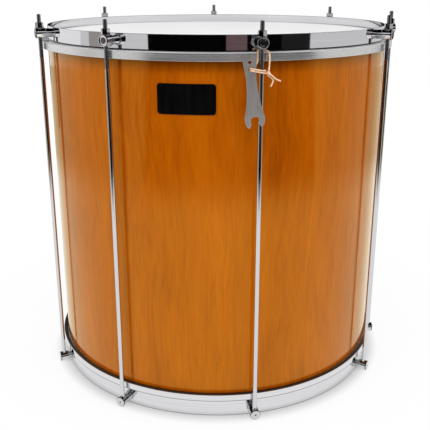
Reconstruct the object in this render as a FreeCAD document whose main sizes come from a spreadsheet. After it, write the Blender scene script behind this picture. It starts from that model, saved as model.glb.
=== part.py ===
import FreeCAD, Part

import math
import os

import Sketcher

# A surdo: a wooden shell with a head at each end, two pressed hoops, and tension rods from hoop to hoop.
# Millimetres. The origin is the centre of the face that the drum stands on, and +Z is up.
# Bearings are degrees from the front (-Y), positive towards +X.

# Driving dimensions
DIMENSIONS = {
    # whole drum
    "overall_height": 523.8,
    "shell_radius": 252.0,
    "shell_wall": 9.0,
    # bearing edges of the shell
    "taper_height": 17.0,
    "taper_depth": 7.5,
    "peak_bevel_height": 1.0,
    "peak_bevel_depth": 0.5,
    "inner_bevel": 0.4,
    # heads and their flesh hoops
    "film_thickness": 0.5,
    "head_gap": 0.4,
    "head_rise": 9.0,
    "film_lip_width": 2.4,
    "flesh_gap": 0.2,
    "flesh_width": 7.05,
    "bottom_flesh_width": 4.2,
    "flesh_height": 8.4,
    "slot_gap": 0.2,
    "flesh_round": 1.0,
    # pressed hoops
    "hoop_sheet": 1.2,
    "hoop_round": 0.45,
    "rim_gap": 0.6,
    "bottom_rim_gap": 3.6,
    "skirt_gap": 0.4,
    "top_rim_height": 20.3,
    "top_skirt_height": 10.0,
    "bottom_rim_height": 25.5,
    "bottom_skirt_height": 10.2,
    # tension rods, nuts and washers
    "rod_radius": 3.0,
    "rod_gap": 0.7,
    "rod_tip_bevel_height": 0.6,
    "rod_proud": 11.1,
    "nut_flats": 10.0,
    "nut_height": 6.3,
    "thread_gap": 0.05,
    "washer_radius": 6.0,
    "washer_thickness": 1.2,
    "rod_clearance": 0.2,
    # lugs
    "lug_radius": 7.5,
    "lug_behind_rod": 7.5,
    "lug_beyond_rod": 6.5,
    "lug_neck_step": 1.5,
    "lug_edge_bevel": 0.7,
    "lug_drop": 8.5,
    "lug_foot_gap": 1.2,
    "lug_seat_cut": 1.0,
    "lug_ring_wall": 1.3,
    "lug_recess": 1.6,
    "lug_boss_radius": 3.8,
    "lug_boss_drop": 0.5,
    "lug_dimple_radius": 1.4,
    "lug_dimple": 0.8,
    "lug_floor": 2.8,
    "weld_gap": 0.05,
    # badge plate
    "badge_bearing": -8.4,
    "badge_width": 74.0,
    "badge_height": 37.9,
    "badge_drop": 58.0,
    "badge_thickness": 0.8,
    "badge_corner": 4.0,
    "badge_gap": 0.3,
    # tuning key
    "key_length": 88.0,
    "key_width": 25.0,
    "key_thickness": 2.0,
    "key_gap": 0.4,
    "key_tilt": 6.4,
    "key_beside_rod": 14.9,
    "key_below_lug": 30.3,
    "key_hole_drop": 17.5,
    "key_hole_radius": 2.45,
    "key_eye_drop": 8.6,
    "key_eye_radius": 2.3,
    "key_jaw_clearance": 0.3,
    # string
    "string_radius": 1.05,
    "knot_width": 3.4,
    "knot_depth": 2.8,
    "knot_height": 3.2,
    # how far every cut runs past the surface it opens
    "overrun": 2.0,
}

# Bearings of the tension rods, clockwise from the one at the left of the front
ROD_BEARINGS = {
    "rod_bearing_1": -67.5,
    "rod_bearing_2": -30.5,
    "rod_bearing_3": 11.7,
    "rod_bearing_4": 61.0,
    "rod_bearing_5": 90.0,
    "rod_bearing_6": 131.4,
    "rod_bearing_7": 181.0,
    "rod_bearing_8": 227.7,
}

# Nuts
HEXAGON_SIDES = 6
NUT_CHAMFER_DEGREES = 30

# Right half of the key from its top to the tip of its jaw: across as shares of the key's width,
# down as shares of its length
KEY_SIDE_SHARES = [
    (0.300, 0.000),
    (0.345, 0.022),
    (0.345, 0.052),
    (0.285, 0.200),
    (0.245, 0.350),
    (0.270, 0.500),
    (0.330, 0.640),
    (0.420, 0.760),
    (0.500, 0.850),
    (0.490, 0.920),
    (0.420, 0.975),
    (0.310, 1.000),
]
KEY_JAW_MOUTH_SHARE = 0.955
KEY_JAW_FLOOR_SHARE = 0.845
KEY_JAW_HEEL_SHARE = 0.870
KEY_JAW_HEEL_WIDTH_SHARE = 0.45

# The string's route from the lug's rod axis: outwards, to the right, and up.
# It goes from the knot through the key, round the rod and through the key again,
# then up beside the rod, over the lug's neck and down to the knot.
STRING_ROUTE = [
    (5.6, 4.8, -35.2),
    (6.9, -4.5, -33.6),
    (7.2, -14.9, -31.4),
    (1.2, -14.9, -31.4),
    (-0.4, -8.6, -31.6),
    (-4.4, -4.5, -31.9),
    (-4.5, 4.5, -32.3),
    (5.0, 4.6, -32.7),
    (6.9, -4.5, -31.2),
    (7.2, -14.9, -29.2),
    (1.2, -14.9, -29.2),
    (0.7, -8.0, -27.2),
    (-2.0, -4.0, -22.0),
    (-2.1, -4.0, -15.0),
    (-2.1, -4.3, -9.6),
    (-4.8, -3.6, -9.3),
    (-4.8, 3.6, -9.3),
    (-1.6, 8.6, -9.4),
    (0.6, 9.7, -14.6),
    (3.0, 9.1, -22.8),
    (5.4, 7.6, -32.2),
]
KNOT_PLACE = (5.7, 6.9, -34.5)
LONG_TAIL_ROUTE = [
    (6.3, 8.4, -35.6),
    (6.4, 12.4, -38.8),
    (6.0, 16.6, -42.6),
    (5.2, 22.6, -44.6),
]
SHORT_TAIL_ROUTE = [
    (4.6, 6.6, -37.0),
    (4.2, 11.2, -41.0),
    (3.9, 14.7, -44.0),
    (3.6, 11.0, -51.2),
]
# Share of a run that a rounded corner of the string takes at each end
CORNER_SHARE = 0.45

doc = FreeCAD.newDocument("Surdo")
sheet = doc.addObject("Spreadsheet::Sheet", "Sizes")


class Size:
    """A size with the sheet formula that gives it, so that what is worked out from it stays bound."""

    def __init__(self, text, value):
        self.text = text
        self.value = value

    def combine(self, sign, other, value):
        return Size(f"({self.text} {sign} {other.text})", value)

    def __add__(self, other):
        other = as_size(other)
        return self.combine("+", other, self.value + other.value)

    def __sub__(self, other):
        other = as_size(other)
        return self.combine("-", other, self.value - other.value)

    def __mul__(self, other):
        other = as_size(other)
        return self.combine("*", other, self.value * other.value)

    def __truediv__(self, other):
        other = as_size(other)
        return self.combine("/", other, self.value / other.value)

    def __rmul__(self, other):
        return as_size(other) * self

    def __neg__(self):
        return as_size(-1) * self


def as_size(number):
    if isinstance(number, Size):
        return number
    return Size(f"({number:.9g})", float(number))


def root(size):
    return Size(f"sqrt({size.text})", math.sqrt(size.value))


def sine(angle):
    return Size(f"sin({angle.text})", math.sin(math.radians(angle.value)))


def cosine(angle):
    return Size(f"cos({angle.text})", math.cos(math.radians(angle.value)))


def fill_sheet(tables):
    """Write each named size in the sheet and return the sizes by name."""
    sizes = {}
    row = 1
    for table in tables:
        for name, number in table.items():
            sheet.set(f"A{row}", name)
            sheet.set(f"B{row}", str(number))
            sheet.setAlias(f"B{row}", name)
            sizes[name] = Size(f"Sizes.{name}", float(number))
            row += 1
    doc.recompute()
    return sizes


size = fill_sheet([DIMENSIONS, ROD_BEARINGS])
ZERO = as_size(0)

# Radii worked out from the driving dimensions, from the shell outwards
taper_slope = size["taper_depth"] / (size["taper_height"] - size["peak_bevel_height"])
film_slant = size["film_thickness"] * root(as_size(1) + taper_slope * taper_slope)
peak_radius = size["shell_radius"] - size["taper_depth"]
film_at_ledge = (peak_radius + size["head_gap"] + film_slant
                 + taper_slope * (size["head_rise"] - size["peak_bevel_height"]))
rim_inner = film_at_ledge + size["rim_gap"]
rim_outer = rim_inner + size["hoop_sheet"]
flesh_inner = size["shell_radius"] + size["head_gap"] + film_slant + size["flesh_gap"]
flesh_outer = flesh_inner + size["flesh_width"]
skirt_inner = flesh_outer + size["skirt_gap"]
skirt_outer = skirt_inner + size["hoop_sheet"]
rod_circle = skirt_outer + size["rod_gap"] + size["rod_radius"]
bottom_rim_inner = film_at_ledge + size["bottom_rim_gap"]
bottom_rim_outer = bottom_rim_inner + size["hoop_sheet"]
bottom_flesh_outer = flesh_inner + size["bottom_flesh_width"]
bottom_skirt_inner = bottom_flesh_outer + size["skirt_gap"]
bottom_skirt_outer = bottom_skirt_inner + size["hoop_sheet"]

# Heights worked out from the driving dimensions
top_ledge = size["overall_height"] - size["top_rim_height"]
bottom_ledge = size["bottom_rim_height"]
shell_top = top_ledge - size["hoop_sheet"] + size["head_rise"]
shell_bottom = bottom_ledge + size["hoop_sheet"] - size["head_rise"]
top_lug_height = size["overall_height"] - size["lug_drop"]
bottom_lug_height = size["lug_foot_gap"] + size["lug_radius"]
lug_seat = size["lug_radius"] - size["lug_seat_cut"]
washer_base = top_lug_height + lug_seat
nut_base = washer_base + size["washer_thickness"]
rod_top = nut_base + size["nut_height"] + size["rod_proud"]
rod_bottom = bottom_lug_height - size["lug_radius"] + size["lug_floor"]


def new_body(label):
    body = doc.addObject("PartDesign::Body", label)
    body.Label = label
    return body


def origin_plane(body, role):
    for feature in body.Origin.OriginFeatures:
        if feature.Role == role:
            return feature
    raise RuntimeError(f"{body.Label} has no {role}")


def new_sketch(body, name, role):
    sketch = body.newObject("Sketcher::SketchObject", name)
    sketch.AttachmentSupport = [(origin_plane(body, role), "")]
    sketch.MapMode = "FlatFace"
    return sketch


def pin_point(sketch, edge, end, across, up):
    """Hold one point of the sketch at a place worked out from the sheet."""
    if across.value == 0:
        sketch.addConstraint(Sketcher.Constraint("PointOnObject", edge, end, -2))
    else:
        index = sketch.addConstraint(Sketcher.Constraint("DistanceX", -1, 1, edge, end, across.value))
        sketch.setExpression(f"Constraints[{index}]", across.text)
    if up.value == 0:
        sketch.addConstraint(Sketcher.Constraint("PointOnObject", edge, end, -1))
    else:
        index = sketch.addConstraint(Sketcher.Constraint("DistanceY", -1, 1, edge, end, up.value))
        sketch.setExpression(f"Constraints[{index}]", up.text)


def draw_outline(sketch, points):
    """Draw a closed outline of straight lines with every corner bound to the sheet."""
    first = sketch.GeometryCount
    corners = [FreeCAD.Vector(across.value, up.value, 0) for across, up in points]
    count = len(corners)
    for index, corner in enumerate(corners):
        line = Part.LineSegment(corner, corners[(index + 1) % count])
        sketch.addGeometry(line, False)
    for index in range(count):
        following = first + (index + 1) % count
        sketch.addConstraint(Sketcher.Constraint("Coincident", first + index, 2, following, 1))
    for index, (across, up) in enumerate(points):
        pin_point(sketch, first + index, 1, across, up)


def draw_circle(sketch, across, up, radius):
    centre = FreeCAD.Vector(across.value, up.value, 0)
    edge = sketch.addGeometry(Part.Circle(centre, FreeCAD.Vector(0, 0, 1), radius.value), False)
    pin_point(sketch, edge, 3, across, up)
    index = sketch.addConstraint(Sketcher.Constraint("Radius", edge, radius.value))
    sketch.setExpression(f"Constraints[{index}]", radius.text)


def revolve(body, name, points, axis="V_Axis"):
    """Turn an outline in the XZ plane once round the Z axis, or round X with H_Axis."""
    sketch = new_sketch(body, f"{name}Profile", "XZ_Plane")
    draw_outline(sketch, points)
    turned = body.newObject("PartDesign::Revolution", name)
    turned.Profile = sketch
    turned.ReferenceAxis = (sketch, [axis])
    turned.Angle = 360
    doc.recompute()
    return turned


def groove(body, name, points):
    """Cut an outline in the XZ plane, turned once round the Z axis, out of a body."""
    before = body.Shape.Volume
    sketch = new_sketch(body, f"{name}Profile", "XZ_Plane")
    draw_outline(sketch, points)
    cut = body.newObject("PartDesign::Groove", name)
    cut.Profile = sketch
    cut.ReferenceAxis = (sketch, ["V_Axis"])
    cut.Angle = 360
    doc.recompute()
    if not body.Shape.Volume < before:
        raise RuntimeError(f"{name} of {body.Label} cuts nothing")
    return cut


def ring_edges(feature, places):
    """Name the circular edges of a turned feature that lie at these radii and heights."""
    names = []
    for index, edge in enumerate(feature.Shape.Edges, start=1):
        if not isinstance(edge.Curve, Part.Circle):
            continue
        for radius, height in places:
            near_radius = math.isclose(edge.Curve.Radius, radius.value, rel_tol=1e-6)
            near_height = math.isclose(edge.Curve.Center.z, height.value, rel_tol=1e-6, abs_tol=1e-6)
            if near_radius and near_height:
                names.append(f"Edge{index}")
    if len(names) < len(places):
        raise RuntimeError(f"{feature.Label} has {len(names)} of {len(places)} edges to round")
    return names


def fillet(body, name, feature, names, radius):
    rounded = body.newObject("PartDesign::Fillet", name)
    rounded.Base = (feature, names)
    rounded.setExpression("Radius", radius.text)
    doc.recompute()
    return rounded


def place_at_bearing(thing, bearing, radius, height):
    """Stand a piece at a bearing with its local X axis pointing outwards."""
    thing.Placement = FreeCAD.Placement(FreeCAD.Vector(0, 0, 0),
                                        FreeCAD.Rotation(FreeCAD.Vector(0, 0, 1), 1))
    thing.setExpression("Placement.Base.x", (radius * sine(bearing)).text)
    thing.setExpression("Placement.Base.y", (-(radius * cosine(bearing))).text)
    thing.setExpression("Placement.Base.z", height.text)
    thing.setExpression("Placement.Rotation.Angle", f"{bearing.text} - 90")


def make_shell():
    """Wooden cylinder whose two ends taper to the edges that the heads bear on."""
    inner = size["shell_radius"] - size["shell_wall"]
    crest = peak_radius - size["peak_bevel_depth"]
    body = new_body("shell")
    points = [
        (inner, shell_bottom + size["inner_bevel"]),
        (inner + size["inner_bevel"], shell_bottom),
        (crest, shell_bottom),
        (peak_radius, shell_bottom + size["peak_bevel_height"]),
        (size["shell_radius"], shell_bottom + size["taper_height"]),
        (size["shell_radius"], shell_top - size["taper_height"]),
        (peak_radius, shell_top - size["peak_bevel_height"]),
        (crest, shell_top),
        (inner + size["inner_bevel"], shell_top),
        (inner, shell_top - size["inner_bevel"]),
    ]
    revolve(body, "ShellWall", points)
    return body


def film_lip_depth():
    return size["head_rise"] + size["flesh_height"] / 2


def make_head(label, level, inward):
    """Film that lies on the shell's edge, runs down its taper and turns out into the flesh hoop.

    level is the height of the shell's edge, and inward is +1 or -1 towards the middle of the drum.
    """
    lip = film_lip_depth()
    knee = peak_radius + size["head_gap"] - taper_slope * size["peak_bevel_height"]
    lip_inner = knee + taper_slope * (lip + size["film_thickness"])
    lip_top_radius = knee + taper_slope * lip + film_slant
    outer_knee = knee + film_slant - taper_slope * size["film_thickness"]
    lip_outer = flesh_inner + size["film_lip_width"]
    body = new_body(label)
    points = [
        (ZERO, level),
        (knee, level),
        (lip_inner, level + inward * (lip + size["film_thickness"])),
        (lip_outer, level + inward * (lip + size["film_thickness"])),
        (lip_outer, level + inward * lip),
        (lip_top_radius, level + inward * lip),
        (outer_knee, level - inward * size["film_thickness"]),
        (ZERO, level - inward * size["film_thickness"]),
    ]
    revolve(body, "Film", points)
    return body


def make_flesh_hoop(label, level, inward, outer):
    """Ring that grips the film's lip in a slot and is pressed down by the hoop's ledge."""
    near = level + inward * size["head_rise"]
    far = near + inward * size["flesh_height"]
    slot_near = level + inward * film_lip_depth()
    slot_far = slot_near + inward * size["film_thickness"]
    slot_end = flesh_inner + size["film_lip_width"] + size["slot_gap"]
    body = new_body(label)
    points = [
        (flesh_inner, near),
        (outer, near),
        (outer, far),
        (flesh_inner, far),
        (flesh_inner, slot_far),
        (slot_end, slot_far),
        (slot_end, slot_near),
        (flesh_inner, slot_near),
    ]
    ring = revolve(body, "Ring", points)
    fillet(body, "Soft", ring, ring_edges(ring, [(outer, near), (outer, far)]), size["flesh_round"])
    return body


def make_hoop(label, free_edge, inward, rim_height, skirt_height, rim, skirt):
    """Pressed ring: a rim, a ledge that bears on the flesh hoop, and a skirt round it.

    rim and skirt are pairs of inner and outer radius.
    """
    rim_in, rim_out = rim
    skirt_in, skirt_out = skirt
    ledge = free_edge + inward * rim_height
    under = ledge + inward * size["hoop_sheet"]
    hem = ledge + inward * skirt_height
    body = new_body(label)
    points = [
        (rim_in, under),
        (skirt_in, under),
        (skirt_in, hem),
        (skirt_out, hem),
        (skirt_out, ledge),
        (rim_out, ledge),
        (rim_out, free_edge),
        (rim_in, free_edge),
    ]
    ring = revolve(body, "Pressing", points)
    soft = [(skirt_out, ledge), (skirt_out, hem), (rim_out, free_edge), (rim_in, free_edge)]
    fillet(body, "Soft", ring, ring_edges(ring, soft), size["hoop_round"])
    return body


def lug_profile_start(rim):
    """Back, neck and shoulder of a lug on a rim of this outer radius, as seen along the rod's circle."""
    back = rim + size["weld_gap"] - rod_circle
    neck = size["lug_radius"] - size["lug_neck_step"]
    shoulder = -size["lug_behind_rod"]
    return [
        (back, ZERO),
        (back, neck),
        (shoulder, neck),
        (shoulder, size["lug_radius"] - size["lug_edge_bevel"]),
        (shoulder + size["lug_edge_bevel"], size["lug_radius"]),
        (size["lug_beyond_rod"] - size["lug_edge_bevel"], size["lug_radius"]),
        (size["lug_beyond_rod"], size["lug_radius"] - size["lug_edge_bevel"]),
    ]


def make_top_lug(number, bearing):
    """Turned barrel welded to the rim: the rod passes up through it and the nut's washer sits on it."""
    front = size["lug_beyond_rod"]
    ring_inner = size["lug_radius"] - size["lug_ring_wall"]
    boss_face = front - size["lug_boss_drop"]
    floor = front - size["lug_recess"]
    body = new_body(f"top_lug_{number}")
    points = lug_profile_start(rim_outer) + [
        (front, ring_inner),
        (floor, ring_inner),
        (floor, size["lug_boss_radius"]),
        (boss_face, size["lug_boss_radius"]),
        (boss_face, size["lug_dimple_radius"]),
        (boss_face - size["lug_dimple"], ZERO),
    ]
    revolve(body, "Barrel", points, axis="H_Axis")
    bore = size["rod_radius"] + size["rod_clearance"]
    spot = size["lug_behind_rod"] + size["overrun"]
    above = size["lug_radius"] + size["overrun"]
    groove(body, "RodHole", [
        (ZERO, -above),
        (bore, -above),
        (bore, lug_seat),
        (spot, lug_seat),
        (spot, above),
        (ZERO, above),
    ])
    place_at_bearing(body, bearing, rod_circle, top_lug_height)
    return body


def make_bottom_lug(number, bearing):
    """The same barrel with a closed face and a blind threaded hole for the rod's lower end."""
    front = size["lug_beyond_rod"]
    body = new_body(f"bottom_lug_{number}")
    points = lug_profile_start(bottom_rim_outer) + [
        (front, size["lug_dimple_radius"]),
        (front - size["lug_dimple"], ZERO),
    ]
    revolve(body, "Barrel", points, axis="H_Axis")
    bore = size["rod_radius"] + size["thread_gap"]
    above = size["lug_radius"] + size["overrun"]
    floor = size["lug_floor"] - size["lug_radius"]
    groove(body, "RodHole", [
        (ZERO, floor),
        (bore, floor),
        (bore, above),
        (ZERO, above),
    ])
    place_at_bearing(body, bearing, rod_circle, bottom_lug_height)
    return body


def make_rod(number, bearing):
    """Straight rod from the blind hole of the bottom lug to above the nut."""
    length = rod_top - rod_bottom
    tip = size["rod_radius"] - size["rod_tip_bevel_height"]
    body = new_body(f"tension_rod_{number}")
    revolve(body, "Rod", [
        (ZERO, ZERO),
        (tip, ZERO),
        (size["rod_radius"], size["rod_tip_bevel_height"]),
        (size["rod_radius"], length - size["rod_tip_bevel_height"]),
        (tip, length),
        (ZERO, length),
    ])
    place_at_bearing(body, bearing, rod_circle, rod_bottom)
    return body


def make_nut(number, bearing):
    """Hexagon nut with chamfered corners, at running clearance on the rod's thread."""
    half_flats = size["nut_flats"] / 2
    corner = half_flats / math.cos(math.pi / HEXAGON_SIDES)
    outside = corner + size["overrun"]
    reach = (outside - half_flats) * math.tan(math.radians(NUT_CHAMFER_DEGREES))
    bore = size["rod_radius"] + size["thread_gap"]
    height = size["nut_height"]
    body = new_body(f"tuning_nut_{number}")
    prism = body.newObject("PartDesign::AdditivePrism", "Hexagon")
    prism.Polygon = HEXAGON_SIDES
    prism.setExpression("Circumradius", corner.text)
    prism.setExpression("Height", height.text)
    doc.recompute()
    groove(body, "Thread", [
        (ZERO, -size["overrun"]),
        (bore, -size["overrun"]),
        (bore, height + size["overrun"]),
        (ZERO, height + size["overrun"]),
    ])
    groove(body, "UpperCorners", [
        (half_flats, height),
        (outside, height - reach),
        (outside, height + size["overrun"]),
        (half_flats, height + size["overrun"]),
    ])
    groove(body, "LowerCorners", [
        (half_flats, ZERO),
        (outside, reach),
        (outside, -size["overrun"]),
        (half_flats, -size["overrun"]),
    ])
    place_at_bearing(body, bearing, rod_circle, nut_base)
    return body


def make_washers(bearings):
    """Plain washers under the nuts, as one group."""
    rings = []
    for number, bearing in enumerate(bearings, start=1):
        disc = doc.addObject("Part::Cylinder", f"WasherDisc{number}")
        disc.setExpression("Radius", size["washer_radius"].text)
        disc.setExpression("Height", size["washer_thickness"].text)
        hole = doc.addObject("Part::Cylinder", f"WasherHole{number}")
        hole.setExpression("Radius", (size["rod_radius"] + size["rod_clearance"]).text)
        hole.setExpression("Height", (size["washer_thickness"] + 2 * size["overrun"]).text)
        hole.setExpression("Placement.Base.z", (-size["overrun"]).text)
        ring = doc.addObject("Part::Cut", f"Washer{number}")
        ring.Base = disc
        ring.Tool = hole
        place_at_bearing(ring, bearing, rod_circle, washer_base)
        rings.append(ring)
    group = doc.addObject("Part::Compound", "nut_washers")
    group.Label = "nut_washers"
    group.Links = rings
    doc.recompute()
    return group


def make_badge():
    """Bare curved plate with rounded corners on the front of the shell."""
    inner = size["shell_radius"] + size["badge_gap"]
    outer = inner + size["badge_thickness"]
    top = size["overall_height"] - size["badge_drop"]
    foot = top - size["badge_height"]
    body = new_body("badge_plate")
    sketch = new_sketch(body, "PlateProfile", "XZ_Plane")
    draw_outline(sketch, [(inner, foot), (outer, foot), (outer, top), (inner, top)])
    plate = body.newObject("PartDesign::Revolution", "Plate")
    plate.Profile = sketch
    plate.ReferenceAxis = (sketch, ["V_Axis"])
    plate.Midplane = True
    plate.setExpression("Angle", (size["badge_width"] / outer * math.degrees(1)).text)
    doc.recompute()
    corners = []
    for index, edge in enumerate(plate.Shape.Edges, start=1):
        if math.isclose(edge.Length, size["badge_thickness"].value, rel_tol=1e-6):
            corners.append(f"Edge{index}")
    fillet(body, "Corners", plate, corners, size["badge_corner"])
    body.Placement = FreeCAD.Placement(FreeCAD.Vector(0, 0, 0),
                                       FreeCAD.Rotation(FreeCAD.Vector(0, 0, 1), 1))
    body.setExpression("Placement.Rotation.Angle", f"{size['badge_bearing'].text} - 90")
    return body


def key_outline():
    """Corners of the key's plate about its string hole, right half first, then the left."""
    top = size["key_hole_drop"]
    width = size["key_width"]
    length = size["key_length"]
    jaw = (size["nut_flats"] + size["key_jaw_clearance"]) / 2
    right = [(width * across, top - length * down) for across, down in KEY_SIDE_SHARES]
    right += [
        (jaw, top - length * KEY_JAW_MOUTH_SHARE),
        (jaw, top - length * KEY_JAW_HEEL_SHARE),
        (jaw * KEY_JAW_HEEL_WIDTH_SHARE, top - length * KEY_JAW_FLOOR_SHARE),
    ]
    left = [(-across, up) for across, up in reversed(right)]
    return right + left


def make_key(bearing):
    """Flat stamped spanner that hangs by its hole in front of the third rod."""
    body = new_body("tuning_key")
    sketch = new_sketch(body, "KeyOutline", "YZ_Plane")
    sketch.AttachmentOffset = FreeCAD.Placement(FreeCAD.Vector(0, 0, 0),
                                                FreeCAD.Rotation(FreeCAD.Vector(0, 0, 1), 1))
    sketch.setExpression("AttachmentOffset.Rotation.Angle", size["key_tilt"].text)
    draw_outline(sketch, key_outline())
    draw_circle(sketch, ZERO, ZERO, size["key_hole_radius"])
    draw_circle(sketch, ZERO, size["key_hole_drop"] - size["key_eye_drop"], size["key_eye_radius"])
    plate = body.newObject("PartDesign::Pad", "KeyPlate")
    plate.Profile = sketch
    plate.setExpression("Length", size["key_thickness"].text)
    doc.recompute()
    back = rod_circle + size["rod_radius"] + size["key_gap"]
    place_at_bearing(body, bearing, rod_circle, top_lug_height - size["key_below_lug"])
    side = size["key_beside_rod"]
    body.setExpression("Placement.Base.x", (back * sine(bearing) - side * cosine(bearing)).text)
    body.setExpression("Placement.Base.y", (-(back * cosine(bearing)) - side * sine(bearing)).text)
    return body


def cord_path(label, points):
    """Straight runs joined by tangent arcs, as one wire, with the radii of its arcs."""
    corners = [FreeCAD.Vector(*point) for point in points]
    edges = []
    radii = []
    start = corners[0]
    for before, corner, after in zip(corners, corners[1:], corners[2:]):
        back = before - corner
        ahead = after - corner
        shorter = min(back.Length, ahead.Length)
        reach = CORNER_SHARE * shorter
        turn = math.pi - back.getAngle(ahead)
        radii.append(reach / math.tan(turn / 2))
        back.normalize()
        ahead.normalize()
        enter = corner + back * reach
        leave = corner + ahead * reach
        halfway = back + ahead
        halfway.normalize()
        inside = radii[-1] / math.cos(turn / 2) - radii[-1]
        edges.append(Part.LineSegment(start, enter).toShape())
        edges.append(Part.Arc(enter, corner + halfway * inside, leave).toShape())
        start = leave
    edges.append(Part.LineSegment(start, corners[-1]).toShape())
    print(label, "arc radii mm:", " ".join(f"{radius:.1f}" for radius in radii))
    return Part.Wire(edges)


def make_cord(label, points, bearing):
    """Round tube of the string's thickness along a route beside the lug."""
    path = cord_path(label, points)
    radius = size["string_radius"].value
    start = path.Vertexes[0].Point
    direction = path.Edges[0].tangentAt(path.Edges[0].FirstParameter)
    section = Part.Wire([Part.makeCircle(radius, start, direction)])
    tube = path.makePipeShell([section], True, False)
    expected = math.pi * radius ** 2 * path.Length
    print(label, f"length {path.Length:.1f} mm, volume {tube.Volume:.1f}, section by length {expected:.1f}")
    cord = doc.addObject("Part::Feature", label)
    cord.Label = label
    cord.Shape = tube
    place_at_bearing(cord, bearing, rod_circle, top_lug_height)
    doc.recompute()
    return cord


def make_knot(bearing):
    """The string's knot, as a rounded lump."""
    lump = doc.addObject("Part::Ellipsoid", "KnotLump")
    lump.setExpression("Radius1", size["knot_height"].text)
    lump.setExpression("Radius2", size["knot_depth"].text)
    lump.setExpression("Radius3", size["knot_width"].text)
    lump.Placement.Base = FreeCAD.Vector(*KNOT_PLACE)
    knot = doc.addObject("Part::Compound", "string_knot")
    knot.Label = "string_knot"
    knot.Links = [lump]
    place_at_bearing(knot, bearing, rod_circle, top_lug_height)
    doc.recompute()
    return knot


def build():
    bearings = [size[name] for name in ROD_BEARINGS]
    nodes = [
        make_shell(),
        make_head("top_head", shell_top, -1),
        make_flesh_hoop("top_flesh_hoop", shell_top, -1, flesh_outer),
        make_hoop("top_hoop", size["overall_height"], -1, size["top_rim_height"], size["top_skirt_height"],
                  (rim_inner, rim_outer), (skirt_inner, skirt_outer)),
        make_head("bottom_head", shell_bottom, 1),
        make_flesh_hoop("bottom_flesh_hoop", shell_bottom, 1, bottom_flesh_outer),
        make_hoop("bottom_hoop", ZERO, 1, size["bottom_rim_height"], size["bottom_skirt_height"],
                  (bottom_rim_inner, bottom_rim_outer), (bottom_skirt_inner, bottom_skirt_outer)),
        make_washers(bearings),
        make_badge(),
    ]
    for number, bearing in enumerate(bearings, start=1):
        nodes.append(make_rod(number, bearing))
        nodes.append(make_nut(number, bearing))
        nodes.append(make_top_lug(number, bearing))
        nodes.append(make_bottom_lug(number, bearing))
    key_bearing = size["rod_bearing_3"]
    nodes.append(make_key(key_bearing))
    nodes.append(make_cord("key_string", STRING_ROUTE, key_bearing))
    nodes.append(make_knot(key_bearing))
    nodes.append(make_cord("string_tail_long", LONG_TAIL_ROUTE, key_bearing))
    nodes.append(make_cord("string_tail_short", SHORT_TAIL_ROUTE, key_bearing))
    return nodes


def check(nodes):
    """Stop if any object failed to build, or a node's shape is empty or broken."""
    doc.recompute()
    for thing in doc.Objects:
        if "Invalid" in thing.State or "Error" in thing.State:
            raise RuntimeError(f"{thing.Label} failed: {thing.State}")
    for node in nodes:
        if node.Shape.isNull() or not node.Shape.isValid() or not node.Shape.Solids:
            raise RuntimeError(f"{node.Label} has no valid shape")


def export(nodes):
    os.makedirs("parts", exist_ok=True)
    for node in nodes:
        node.Shape.exportStep(f"parts/{node.Label}.step")
    print(len(nodes), "nodes written")


parts = build()
check(parts)
export(parts)
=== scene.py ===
import math

import bmesh
import bpy
from mathutils import Matrix, Vector


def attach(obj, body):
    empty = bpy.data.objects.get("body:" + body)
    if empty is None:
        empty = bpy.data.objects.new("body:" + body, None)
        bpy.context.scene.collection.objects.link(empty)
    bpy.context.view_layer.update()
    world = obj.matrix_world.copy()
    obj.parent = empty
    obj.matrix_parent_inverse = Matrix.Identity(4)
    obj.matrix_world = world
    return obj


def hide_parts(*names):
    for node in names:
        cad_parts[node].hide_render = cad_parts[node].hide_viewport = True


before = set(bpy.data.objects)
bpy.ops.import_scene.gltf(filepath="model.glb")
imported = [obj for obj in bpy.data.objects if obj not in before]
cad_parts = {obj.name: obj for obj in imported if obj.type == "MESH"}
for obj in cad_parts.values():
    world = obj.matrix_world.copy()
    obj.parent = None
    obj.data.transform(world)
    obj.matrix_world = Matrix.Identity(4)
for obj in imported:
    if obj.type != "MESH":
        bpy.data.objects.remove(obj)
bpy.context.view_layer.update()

# A surdo drum standing on a pale floor. Sizes are in millimetres and are turned to metres as the
# pieces are made. Bearings are degrees from the front (-Y), positive towards +X.

MM = 0.001
ROUND_STEPS = 256
SMALL_STEPS = 64
ROD_STEPS = 32

# Sizes that the pieces share with the model
HEIGHT = 523.8
SHELL_RADIUS = 252.0
SHELL_INNER = 243.0
TAPER_HEIGHT = 17.0
TAPER_DEPTH = 7.5
PEAK_HEIGHT = 1.0
PEAK_DEPTH = 0.5
SHELL_BEVEL = 0.4
FILM_THICKNESS = 0.5
HEAD_GAP = 0.4
HEAD_RISE = 9.0
FLESH_HEIGHT = 8.4
LIP_DROP = 13.2
LIP_WIDTH = 2.4
SLOT_WIDTH = 2.6
RIM_INNER = 249.802
RIM_OUTER = 251.002
FLESH_INNER = 253.152
FLESH_OUTER = 260.202
SKIRT_INNER = 260.602
SKIRT_OUTER = 261.802
BOTTOM_RIM_INNER = 252.802
BOTTOM_RIM_OUTER = 254.002
BOTTOM_FLESH_OUTER = 257.352
BOTTOM_SKIRT_INNER = 257.752
BOTTOM_SKIRT_OUTER = 258.952
ROD_CIRCLE = 265.502
SHEET = 1.2
TOP_LEDGE = 503.5
TOP_HEM = 493.5
BOTTOM_LEDGE = 25.5
BOTTOM_HEM = 35.7
SHELL_TOP = 511.3
SHELL_BOTTOM = 17.7
TOP_LUG = 515.3
BOTTOM_LUG = 8.7
LUG_RADIUS = 7.5
LUG_NECK = 6.0
LUG_BEVEL = 0.7
LUG_BEHIND = 7.5
LUG_FRONT = 6.5
WELD_GAP = 0.05
WASHER_BASE = 521.8
WASHER_RADIUS = 6.0
WASHER_THICKNESS = 1.2
NUT_BASE = 523.0
NUT_HEIGHT = 6.3
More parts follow.
